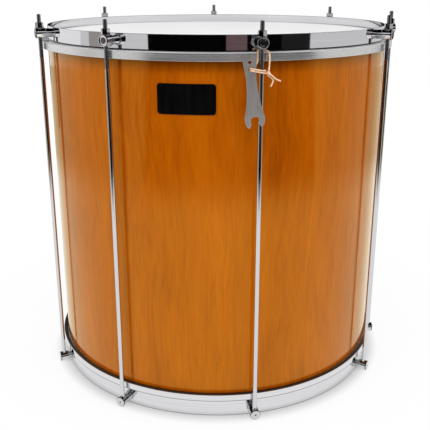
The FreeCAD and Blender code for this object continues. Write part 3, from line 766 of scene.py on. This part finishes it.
def cut_hole(bm, low, high, radius):
    """Cut a round vertical hole through the lug by a boolean, and return the cut mesh."""
    body = bpy.data.meshes.new("lug_body")
    bm.to_mesh(body)
    bm.free()
    drill = bmesh.new()
    bmesh.ops.create_cone(drill, cap_ends=True, segments=48, radius1=radius * MM, radius2=radius * MM,
                          depth=(high - low) * MM)
    bmesh.ops.translate(drill, vec=(0, 0, (high + low) / 2 * MM), verts=drill.verts)
    drill_mesh = bpy.data.meshes.new("lug_drill")
    drill.to_mesh(drill_mesh)
    drill.free()
    lug = bpy.data.objects.new("lug_body", body)
    tool = bpy.data.objects.new("lug_drill", drill_mesh)
    for thing in (lug, tool):
        bpy.context.scene.collection.objects.link(thing)
    cut = lug.modifiers.new("hole", "BOOLEAN")
    cut.operation = "DIFFERENCE"
    cut.solver = "EXACT"
    cut.object = tool
    bpy.context.view_layer.update()
    result = bmesh.new()
    result.from_object(lug, bpy.context.evaluated_depsgraph_get())
    for thing in (lug, tool):
        bpy.data.objects.remove(thing)
    bpy.data.meshes.remove(body)
    bpy.data.meshes.remove(drill_mesh)
    return result


def top_lug_shape():
    """Barrel with a raised ring and a boss on its face, and a flat seat for the washer."""
    face = [(6.0, 0.0), (5.6, 1.6), (3.9, 1.6), (3.9, 1.2), (3.1, 0.5), (1.4, 0.5), (0, 1.3)]
    bm = lug_barrel(RIM_OUTER, [(radius, LUG_FRONT - drop) for radius, drop in face])
    bevel_sharp(bm, 40.0, 0.18, 2)
    cut_off(bm, (0, 0, (WASHER_BASE - TOP_LUG) * MM), (0, 0, 1), 1e-6)
    return cut_hole(bm, -10.0, 9.0, ROD_RADIUS + ROD_CLEARANCE)


def bottom_lug_shape():
    """The same barrel with a closed face and a blind hole."""
    bm = lug_barrel(BOTTOM_RIM_OUTER, [(1.4, LUG_FRONT), (0, LUG_FRONT - 0.8)])
    bevel_sharp(bm, 40.0, 0.25, 3)
    return cut_hole(bm, ROD_BOTTOM - BOTTOM_LUG, 10.0, ROD_RADIUS + THREAD_GAP)


def rod_shape():
    """Plain rod with a real thread on its upper end."""
    tip = 0.6
    points = [
        (0, ROD_BOTTOM), (ROD_RADIUS - tip, ROD_BOTTOM), (ROD_RADIUS, ROD_BOTTOM + tip),
        (ROD_RADIUS, THREAD_START - 1.0), (THREAD_CORE, THREAD_START), (THREAD_CORE, ROD_TOP - 0.2),
        (THREAD_CORE - 0.4, ROD_TOP), (0, ROD_TOP),
    ]
    bm = turned(points, steps=ROD_STEPS, closed=False)
    half = 0.44 * THREAD_PITCH
    foot = THREAD_CORE - 0.15
    turn_steps = 20
    section = [(foot, -half), (THREAD_CREST, 0.0), (foot, half)]
    verts = [bm.verts.new((radius * MM, 0, (THREAD_START + rise) * MM)) for radius, rise in section]
    face = bm.faces.new(verts)
    turns = int((ROD_TOP - 0.7 - THREAD_START) / THREAD_PITCH)
    bmesh.ops.spin(bm, geom=[face], cent=(0, 0, 0), axis=(0, 0, 1),
                   dvec=(0, 0, THREAD_PITCH * MM / turn_steps), angle=math.tau * turns,
                   steps=turns * turn_steps, use_merge=False)
    return bm


def nut_shape():
    """Hexagon nut: a chamfered disc cut to six flats, with a threaded bore."""
    wide, bore, mouth = 6.4, ROD_RADIUS + THREAD_GAP, 3.5
    face = NUT_HALF_FLATS - 0.15
    drop = (wide - NUT_HALF_FLATS) * math.tan(math.radians(30))
    points = [
        (bore, 0.5), (mouth, 0.0), (face, 0.0), (wide, drop), (wide, NUT_HEIGHT - drop),
        (face, NUT_HEIGHT), (mouth, NUT_HEIGHT), (bore, NUT_HEIGHT - 0.5),
    ]
    bm = turned(points, steps=96)
    for side in range(6):
        angle = math.radians(60 * side + 30)
        outwards = Vector((math.cos(angle), math.sin(angle), 0))
        cut_off(bm, outwards * NUT_HALF_FLATS * MM, outwards, 1e-7)
    bmesh.ops.remove_doubles(bm, verts=bm.verts, dist=0.000002)
    return bm


def build_hardware():
    top_lug = top_lug_shape()
    bottom_lug = bottom_lug_shape()
    rod = rod_shape()
    nut = nut_shape()
    hole = ROD_RADIUS + ROD_CLEARANCE
    washer = turned([(hole, 0.0), (WASHER_RADIUS, 0.0), (WASHER_RADIUS, WASHER_THICKNESS),
                     (hole, WASHER_THICKNESS)],
                    [(1, 0.25), (2, 0.35), (0, 0.15), (3, 0.15)], steps=SMALL_STEPS)
    washers = bmesh.new()
    for number, bearing in enumerate(ROD_BEARINGS, start=1):
        copy_into(washers, washer, bearing_frame(bearing, WASHER_BASE))
        finish_piece(placed_copy(top_lug, bearing_frame(bearing, TOP_LUG)),
                     f"top_lug_barrel_{number}", LUG_CHROME, "top_hoop", [f"top_lug_{number}"])
        finish_piece(placed_copy(bottom_lug, bearing_frame(bearing, BOTTOM_LUG)),
                     f"bottom_lug_barrel_{number}", LUG_CHROME, "drum",
                     [f"bottom_lug_{number}"])
        finish_piece(placed_copy(rod, bearing_frame(bearing, 0)), f"threaded_rod_{number}",
                     ROD_CHROME, "drum", [f"tension_rod_{number}"])
        finish_piece(placed_copy(nut, bearing_frame(bearing, NUT_BASE)), f"hexagon_nut_{number}",
                     NUT_CHROME, f"tuning_nut_{number}", [f"tuning_nut_{number}"], 20.0)
    finish_piece(washers, "plain_washers", NUT_CHROME, "top_hoop", ["nut_washers"])
    for shape in (top_lug, bottom_lug, rod, nut, washer):
        shape.free()


# -------- badge, key and string

def build_badge():
    """Bare black plate with rounded corners, bent to the shell."""
    half = BADGE_WIDTH / 2
    foot = HEIGHT - BADGE_DROP - BADGE_HEIGHT
    top = foot + BADGE_HEIGHT
    inner = SHELL_RADIUS + BADGE_GAP
    bm = bmesh.new()
    verts = [bm.verts.new((x * MM, 0, z * MM)) for x, z in
             ((-half, foot), (half, foot), (half, top), (-half, top))]
    bm.faces.new(verts)
    bmesh.ops.bevel(bm, geom=verts, offset=BADGE_CORNER * MM, offset_type="OFFSET", segments=10,
                    profile=0.5, affect="VERTICES", material=-1)
    strips = 36
    for step in range(1, strips):
        geom = list(bm.verts) + list(bm.edges) + list(bm.faces)
        place = (step / strips - 0.5) * BADGE_WIDTH
        bmesh.ops.bisect_plane(bm, geom=geom, dist=1e-7, plane_co=(place * MM, 0, 0), plane_no=(1, 0, 0))
    moved = thickened(bm, (0, -BADGE_THICKNESS * MM, 0))
    outline = [edge for edge in select_sharp(bm, 60.0) if all(vert in moved for vert in edge.verts)]
    bmesh.ops.bevel(bm, geom=outline, offset=0.3 * MM, offset_type="OFFSET", segments=3, profile=0.5,
                    affect="EDGES", material=-1)
    for vert in bm.verts:
        radius = inner * MM - vert.co.y
        angle = math.radians(BADGE_BEARING) + vert.co.x / ((inner + BADGE_THICKNESS) * MM)
        vert.co = (radius * math.sin(angle), -radius * math.cos(angle), vert.co.z)
    finish_piece(bm, "bare_badge", BADGE_BLACK, "drum", ["badge_plate"])


def ring_of_edges(bm, points):
    verts = [bm.verts.new((0, across * MM, up * MM)) for across, up in points]
    return [bm.edges.new(pair) for pair in zip(verts, verts[1:] + verts[:1])]


def circle_points(up, radius, count):
    return [(radius * math.cos(math.tau * step / count), up + radius * math.sin(math.tau * step / count))
            for step in range(count)]


def build_key():
    """Flat stamped key with its open jaw, string hole and eye."""
    right = [(KEY_WIDTH * across, KEY_TOP - KEY_LENGTH * down) for across, down in KEY_SIDE_SHARES]
    right += [(KEY_HALF_JAW * across, KEY_TOP - KEY_LENGTH * down) for across, down in KEY_JAW_SHARES]
    outline = right + [(-across, up) for across, up in reversed(right)]
    bm = bmesh.new()
    edges = ring_of_edges(bm, outline)
    edges += ring_of_edges(bm, circle_points(0.0, KEY_HOLE, 32))
    edges += ring_of_edges(bm, circle_points(KEY_TOP - KEY_EYE_DROP, KEY_EYE, 28))
    bmesh.ops.triangle_fill(bm, use_beauty=True, use_dissolve=False, edges=edges)
    thickened(bm, (KEY_THICKNESS * MM, 0, 0))
    bevel_sharp(bm, 60.0, 0.3, 3)
    tilt = Matrix.Rotation(math.radians(KEY_TILT), 4, "X")
    shift = Matrix.Translation(Vector(KEY_PLACE) * MM)
    bmesh.ops.transform(bm, matrix=bearing_frame(KEY_BEARING, TOP_LUG) @ shift @ tilt, verts=bm.verts)
    finish_piece(bm, "flat_key", KEY_STEEL, "tuning_key", ["tuning_key"])


def route_points(name, route):
    """Points along the NURBS spline of a route, in the frame of the lug that carries the string."""
    place = bearing_frame(KEY_BEARING, TOP_LUG)
    curve = bpy.data.curves.new(name, "CURVE")
    curve.dimensions = "3D"
    curve.resolution_u = 10
    spline = curve.splines.new("NURBS")
    spline.points.add(len(route) - 1)
    for point, corner in zip(spline.points, route):
        point.co = (*(place @ (Vector(corner) * MM)), 1.0)
    spline.order_u = 3
    spline.use_endpoint_u = True
    carrier = bpy.data.objects.new(name, curve)
    bpy.context.scene.collection.objects.link(carrier)
    bpy.context.view_layer.update()
    line = bpy.data.meshes.new_from_object(carrier)
    points = [vert.co.copy() for vert in line.vertices]
    bpy.data.objects.remove(carrier)
    bpy.data.curves.remove(curve)
    bpy.data.meshes.remove(line)
    return points


def even_points(points, gap):
    """The same line with its points one gap apart."""
    lengths = [0.0]
    for one, two in zip(points, points[1:]):
        lengths.append(lengths[-1] + (two - one).length)
    count = max(2, int(lengths[-1] / gap))
    result = []
    index = 0
    for step in range(count + 1):
        target = lengths[-1] * step / count
        while index < len(points) - 2 and lengths[index + 1] < target:
            index += 1
        span = lengths[index + 1] - lengths[index]
        share = 0.0 if span == 0 else (target - lengths[index]) / span
        result.append(points[index].lerp(points[index + 1], share))
    return result


def sweep(bm, path, radius, sides):
    """Round tube with closed ends along a line of points."""
    side = Vector((0, 0, 1)).cross(path[1] - path[0])
    if side.length < 1e-9:
        side = Vector((1, 0, 0))
    side.normalize()
    previous = None
    for index, point in enumerate(path):
        ahead = path[min(index + 1, len(path) - 1)] - path[max(index - 1, 0)]
        ahead.normalize()
        side = (side - ahead * side.dot(ahead)).normalized()
        other = ahead.cross(side)
        ring = [bm.verts.new(point + (side * math.cos(math.tau * step / sides)
                                      + other * math.sin(math.tau * step / sides)) * radius)
                for step in range(sides)]
        if previous is None:
            bm.faces.new(ring)
        else:
            for step in range(sides):
                after = (step + 1) % sides
                bm.faces.new((previous[step], previous[after], ring[after], ring[step]))
        previous = ring
    bm.faces.new(previous)


def twisted_strands(bm, path, offset=0.50, radius=0.55, start_turn=0.0):
    """Plies laid round each other along a line. offset is from the line to the middle of each."""
    strands, lay = 3, 6.0
    path = even_points(path, 0.5 * MM)
    side = Vector((0, 0, 1)).cross(path[1] - path[0])
    side.normalize()
    plies = [[] for ply in range(strands)]
    travelled = 0.0
    for index, point in enumerate(path):
        ahead = path[min(index + 1, len(path) - 1)] - path[max(index - 1, 0)]
        ahead.normalize()
        side = (side - ahead * side.dot(ahead)).normalized()
        other = ahead.cross(side)
        if index:
            travelled += (point - path[index - 1]).length
        for ply in range(strands):
            turn = math.tau * (travelled / (lay * MM) + ply / strands) + start_turn
            plies[ply].append(point + (side * math.cos(turn) + other * math.sin(turn)) * offset * MM)
    for line in plies:
        sweep(bm, line, radius * MM, 10)


def build_string():
    for name, node, route, turn in (
            ("cotton_string", "key_string", STRING_ROUTE, 0.0),
            ("cotton_tail_long", "string_tail_long", LONG_TAIL_ROUTE, 1.0),
            ("cotton_tail_short", "string_tail_short", SHORT_TAIL_ROUTE, 2.0)):
        bm = bmesh.new()
        twisted_strands(bm, route_points(name, route), start_turn=turn)
        finish_piece(bm, name, COTTON, "top_hoop", [node], 50.0)


def build_knot():
    """Two close wraps with a strand tucked under them."""
    centre = Vector(KNOT_PLACE)
    along = Vector((0.0, 0.62, -0.78)).normalized()
    side = Vector((1.0, 0.0, 0.0))
    other = along.cross(side)
    place = bearing_frame(KEY_BEARING, TOP_LUG)
    wrap = []
    for step in range(61):
        turn = math.tau * 2.2 * step / 60
        reach = 1.55 if 4 < step < 56 else 1.2
        point = centre + along * (step / 60 - 0.5) * 3.2
        point += side * math.cos(turn) * reach * 0.95 + other * math.sin(turn) * reach
        wrap.append(place @ (point * MM))
    core = [place @ ((centre + along * offset) * MM) for offset in (-2.0, -1.0, 0.0, 1.0, 2.0)]
    bm = bmesh.new()
    twisted_strands(bm, wrap, offset=0.45, radius=0.5)
    sweep(bm, core, 1.2 * MM, 12)
    finish_piece(bm, "string_knot_wraps", COTTON, "top_hoop", ["string_knot"], 50.0)


# -------- stage, lamps and camera

def build_floor():
    """Pale floor, painted darker in a ring round the drum's foot as a painted contact shadow. It glows
    towards the camera and the chrome, less so in the drum's contact shadow.
    """
    material = bpy.data.materials.new("pale floor")
    material.use_nodes = True
    tree = material.node_tree
    shader = tree.nodes["Principled BSDF"]
    set_inputs(shader, {"Roughness": 0.9, "Specular IOR Level": 0.0})
    glow = add_node(tree, "ShaderNodeEmission")
    set_inputs(glow, {"Color": (1.0, 1.0, 1.0, 1.0), "Strength": 1.0})
    path = add_node(tree, "ShaderNodeLightPath")
    away = vector_length(tree, add_node(tree, "ShaderNodeTexCoord").outputs["Object"])
    # The floor's colour is darker in a ring round the drum's foot: a painted contact shadow.
    join(tree, spread(tree, away, 0.262, 0.300, 0.45, 0.86), shader.inputs["Base Color"])
    white = calculated(tree, "ADD", spread(tree, away, 0.252, 0.276, 0.30, 0.94),
                       spread(tree, away, 0.282, 0.60, 0.0, 0.06))
    seen = calculated(tree, "MULTIPLY", white, path.outputs["Is Camera Ray"])
    mirrored = spread(tree, away, 0.252, 0.264, 0.35, 0.90)
    share = calculated(tree, "MULTIPLY_ADD", mirrored, path.outputs["Is Glossy Ray"], seen)
    mix = add_node(tree, "ShaderNodeMixShader")
    join(tree, share, mix.inputs["Fac"])
    join(tree, shader.outputs["BSDF"], mix.inputs[1])
    join(tree, glow.outputs["Emission"], mix.inputs[2])
    join(tree, mix.outputs["Shader"], tree.nodes["Material Output"].inputs["Surface"])
    bm = bmesh.new()
    bmesh.ops.create_circle(bm, cap_ends=True, segments=96, radius=30.0)
    mesh = bpy.data.meshes.new("floor")
    bm.to_mesh(mesh)
    bm.free()
    mesh.materials.append(material)
    floor = bpy.data.objects.new("floor", mesh)
    bpy.context.scene.collection.objects.link(floor)


def finish_card(bm, name, material):
    """Card that only polished surfaces see."""
    mesh = bpy.data.meshes.new(name)
    bm.to_mesh(mesh)
    bm.free()
    mesh.materials.append(material)
    card = bpy.data.objects.new(name, mesh)
    bpy.context.scene.collection.objects.link(card)
    card.visible_camera = False
    card.visible_diffuse = False
    card.visible_shadow = False
    card.visible_transmission = False


def card_material(name, shade):
    """Even glow of one shade. Returns the material, its tree and the glow."""
    material = bpy.data.materials.new(name)
    material.use_nodes = True
    tree = material.node_tree
    tree.nodes.remove(tree.nodes["Principled BSDF"])
    glow = add_node(tree, "ShaderNodeEmission")
    set_inputs(glow, {"Color": (*shade, 1.0), "Strength": 1.0})
    join(tree, glow.outputs["Emission"], tree.nodes["Material Output"].inputs["Surface"])
    return material, tree, glow


def build_card(name, azimuth, distance, left, right, low, high, shade):
    """Upright card. azimuth 0 is behind the camera, and left and right are measured from its middle."""
    material = card_material(name, shade)[0]
    bm = bmesh.new()
    corners = [(left, low), (right, low), (right, high), (left, high)]
    bm.faces.new([bm.verts.new((x, -distance, z)) for x, z in corners])
    turn = Matrix.Rotation(math.radians(azimuth), 3, "Z")
    bmesh.ops.rotate(bm, cent=(0, 0, 0), matrix=turn, verts=bm.verts)
    finish_card(bm, name, material)


def build_disc(name, inner, outer, height, shade, fade, first, last):
    """Level ring between two azimuths. It is clear at its inner edge and reaches its shade after the fade."""
    material, tree, glow = card_material(name, shade)
    away = vector_length(tree, add_node(tree, "ShaderNodeTexCoord").outputs["Object"])
    clear = add_node(tree, "ShaderNodeBsdfTransparent")
    mix = add_node(tree, "ShaderNodeMixShader")
    join(tree, spread(tree, away, inner, inner + fade, 0.0, 1.0), mix.inputs["Fac"])
    join(tree, clear.outputs["BSDF"], mix.inputs[1])
    join(tree, glow.outputs["Emission"], mix.inputs[2])
    join(tree, mix.outputs["Shader"], tree.nodes["Material Output"].inputs["Surface"])
    bm = bmesh.new()
    angle = math.radians(first - 90)
    start = [bm.verts.new((radius * math.cos(angle), radius * math.sin(angle), 0))
             for radius in (inner, outer)]
    edge = bm.edges.new(start)
    bmesh.ops.spin(bm, geom=start + [edge], cent=(0, 0, 0), axis=(0, 0, 1), dvec=(0, 0, 0),
                   angle=math.radians(last - first), steps=96, use_merge=False)
    bmesh.ops.translate(bm, vec=(0, 0, height), verts=bm.verts)
    finish_card(bm, name, material)


def build_cards():
    """The dark half of the studio, as the polished metal and the varnish mirror it."""
    for card in CARDS:
        build_card(*card)
    for disc in DISCS:
        build_disc(*disc)


def build_lamp(name, place, target, size, power):
    light = bpy.data.lights.new(name, "AREA")
    light.shape = "RECTANGLE"
    light.size, light.size_y = size
    light.energy = power
    lamp = bpy.data.objects.new(name, light)
    lamp.location = place
    lamp.rotation_euler = (Vector(target) - Vector(place)).to_track_quat("-Z", "Y").to_euler()
    bpy.context.scene.collection.objects.link(lamp)
    lamp.visible_camera = False
    lamp.visible_glossy = False


def build_world():
    """White to the camera, and dimmer as a light and as a mirrored background."""
    world = bpy.data.worlds.new("studio")
    bpy.context.scene.world = world
    world.use_nodes = True
    tree = world.node_tree
    soft = tree.nodes["Background"]
    set_inputs(soft, {"Color": (1.0, 1.0, 1.0, 1.0), "Strength": SOFT_LIGHT})
    bright = add_node(tree, "ShaderNodeBackground")
    set_inputs(bright, {"Color": (1.0, 1.0, 1.0, 1.0), "Strength": 1.0})
    mirrored = add_node(tree, "ShaderNodeBackground")
    set_inputs(mirrored, {"Color": (0.97, 0.98, 1.0, 1.0), "Strength": MIRRORED_LIGHT})
    path = add_node(tree, "ShaderNodeLightPath")
    first = add_node(tree, "ShaderNodeMixShader")
    join(tree, path.outputs["Is Glossy Ray"], first.inputs["Fac"])
    join(tree, soft.outputs["Background"], first.inputs[1])
    join(tree, mirrored.outputs["Background"], first.inputs[2])
    straight = calculated(tree, "MAXIMUM", path.outputs["Is Camera Ray"], path.outputs["Is Transmission Ray"])
    both = add_node(tree, "ShaderNodeMixShader")
    join(tree, straight, both.inputs["Fac"])
    join(tree, first.outputs["Shader"], both.inputs[1])
    join(tree, bright.outputs["Background"], both.inputs[2])
    join(tree, both.outputs["Shader"], tree.nodes["World Output"].inputs["Surface"])


def build_camera():
    """Camera fitted to the photograph."""
    lens = bpy.data.cameras.new("camera")
    lens.sensor_width = SENSOR_MM
    lens.lens = FOCAL_PIXELS / PHOTO_WIDTH * SENSOR_MM
    camera = bpy.data.objects.new("camera", lens)
    camera.location = CAMERA_PLACE
    camera.rotation_euler = (math.pi / 2 - CAMERA_DOWN, 0.0, CAMERA_ROLL)
    bpy.context.scene.collection.objects.link(camera)
    bpy.context.scene.camera = camera


build_shell()
build_head("top_film", "top_head", SHELL_TOP, -1)
build_head("bottom_film", "bottom_head", SHELL_BOTTOM, 1)
build_flesh_hoop("top_flesh_ring", "top_flesh_hoop", SHELL_TOP, -1, FLESH_OUTER)
build_flesh_hoop("bottom_flesh_ring", "bottom_flesh_hoop", SHELL_BOTTOM, 1, BOTTOM_FLESH_OUTER)
build_hoop("top_chrome_hoop", "top_hoop", "top_hoop", HEIGHT, -1, TOP_LEDGE, TOP_HEM,
           (RIM_INNER, RIM_OUTER), (SKIRT_INNER, SKIRT_OUTER))
build_hoop("bottom_chrome_hoop", "bottom_hoop", "drum", 0.0, 1, BOTTOM_LEDGE, BOTTOM_HEM,
           (BOTTOM_RIM_INNER, BOTTOM_RIM_OUTER), (BOTTOM_SKIRT_INNER, BOTTOM_SKIRT_OUTER))
build_hardware()
build_badge()
build_key()
build_string()
build_knot()
build_floor()
build_cards()
build_world()
for settings in LAMPS:
    build_lamp(*settings)
build_camera()

scene = bpy.context.scene
scene.view_settings.view_transform = "Standard"
